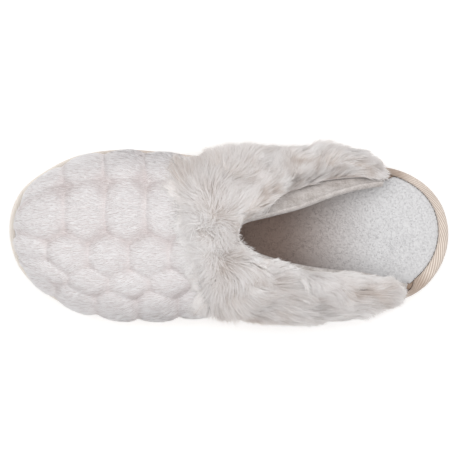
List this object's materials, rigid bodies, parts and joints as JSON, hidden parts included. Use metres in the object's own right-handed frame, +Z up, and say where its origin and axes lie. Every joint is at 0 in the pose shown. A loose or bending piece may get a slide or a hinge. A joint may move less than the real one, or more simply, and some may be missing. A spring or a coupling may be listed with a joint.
{
  "type": "scuff slipper",
  "caption": "Left scuff slipper: hollow quilted plush upper, deep fur collar round a V opening, padded insole, tape-bound rim and a lugged rubber outsole, open at the heel.",
  "frame": {"origin": "on the floor, at the middle of the heel's flat tread, 38 mm ahead of the sole's back end", "axes": "+X from heel to toe, +Y to the outer (little toe) side of this left shoe, +Z up"},
  "size_m": [0.262, 0.1101, 0.0802],
  "materials": {
    "outsole_rubber": "matt moulded beige rubber",
    "woven_tape": "ribbed woven tape, beige to peach",
    "insole_plush": "short dense plush, pale grey white",
    "puffed_plush": "short soft pile quilted into puffs, off white",
    "long_fur": "long soft fur, off white with a warm hint"
  },
  "bodies": {
    "root": {"outsole": "outsole_rubber", "bound_rim": "woven_tape", "insole": "insole_plush", "upper": "puffed_plush", "fur_collar": "long_fur"}
  },
  "joints": []
}
